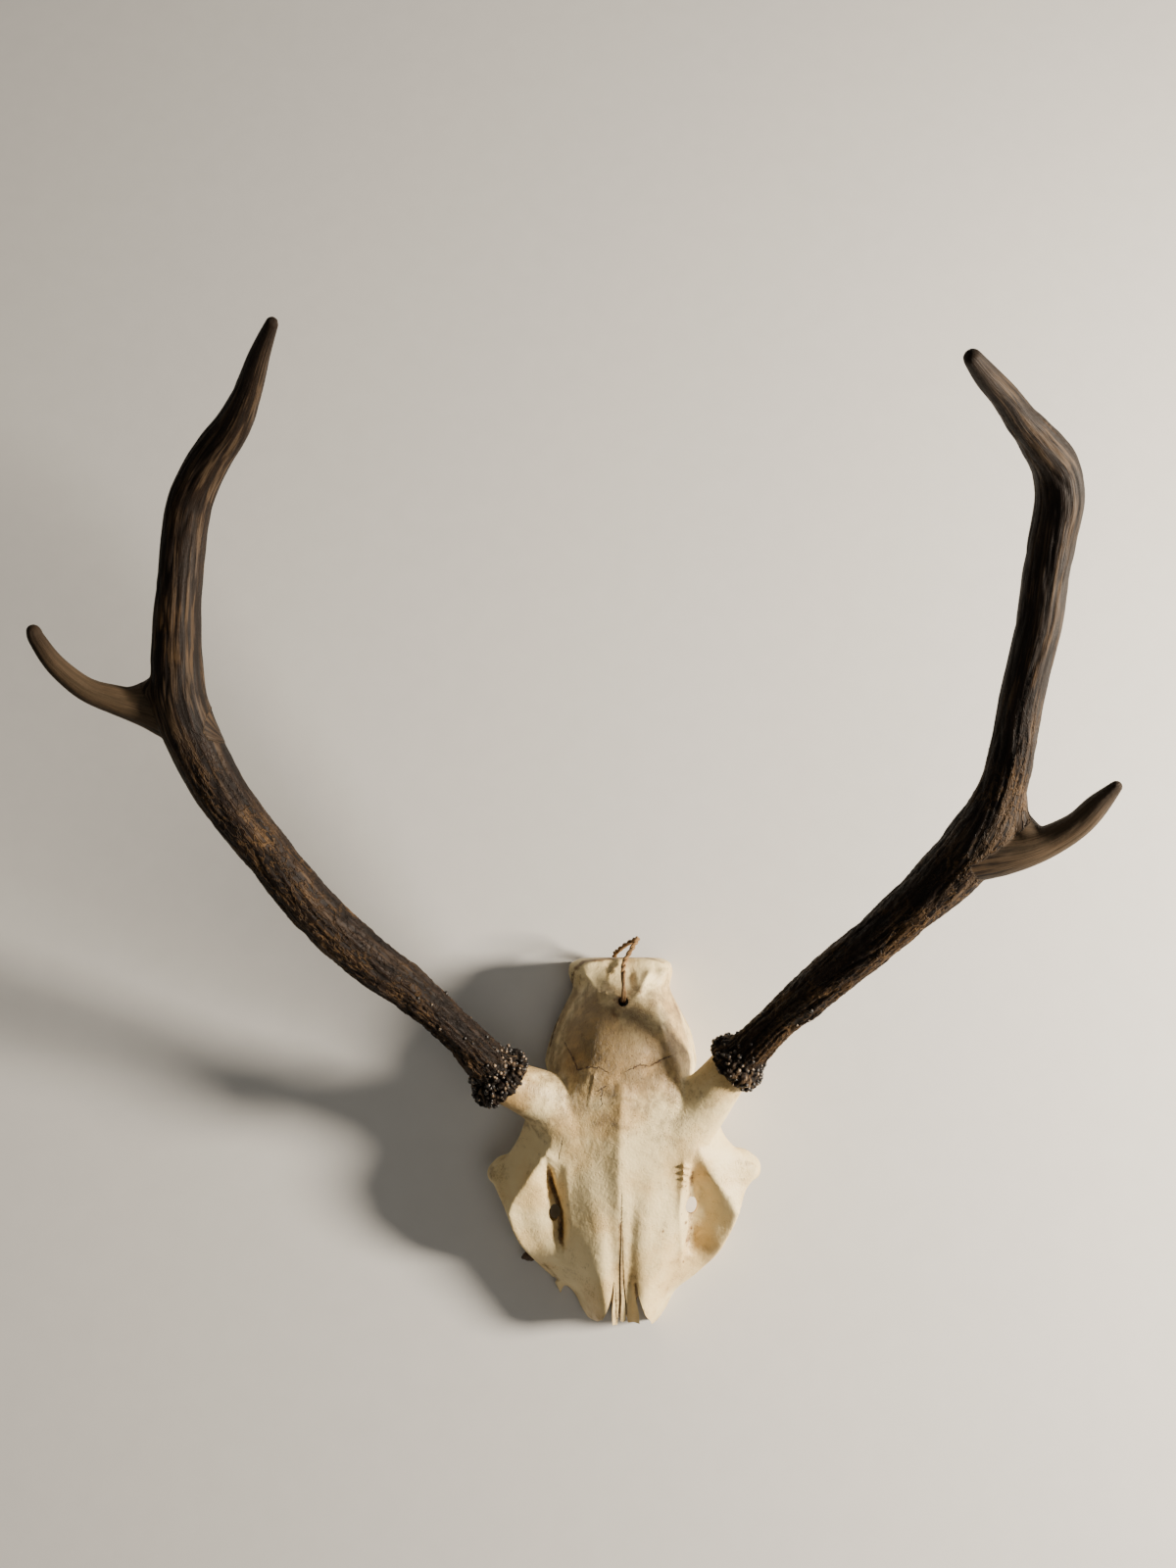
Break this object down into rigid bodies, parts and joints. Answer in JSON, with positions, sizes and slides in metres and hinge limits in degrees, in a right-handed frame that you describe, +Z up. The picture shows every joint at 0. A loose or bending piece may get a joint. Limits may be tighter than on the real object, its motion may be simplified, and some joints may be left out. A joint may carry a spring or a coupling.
{
  "type": "deer skull with antlers",
  "caption": "Sawn top of a deer's skull with a forked antler on each side and a short loop of twine through a drilled hole.",
  "frame": {"origin": "under the middle of the object, on the surface that the sawn back of the skull lies on", "axes": "+X towards the right antler as seen in the picture, +Y from the nose towards the back of the head, +Z up out of the forehead"},
  "size_m": [0.5016, 0.4346, 0.3274],
  "materials": {
    "bone": "dry weathered bone with brown stains",
    "antler": "dark brown grooved and pearled antler",
    "twine": "twisted golden-brown fibre"
  },
  "bodies": {
    "root": {"skull": "bone", "antler_left_beam": "antler", "antler_left_tine": "antler", "antler_right_beam": "antler", "antler_right_tine": "antler", "hanging_twine": "twine", "twine_knot": "twine"}
  },
  "joints": []
}
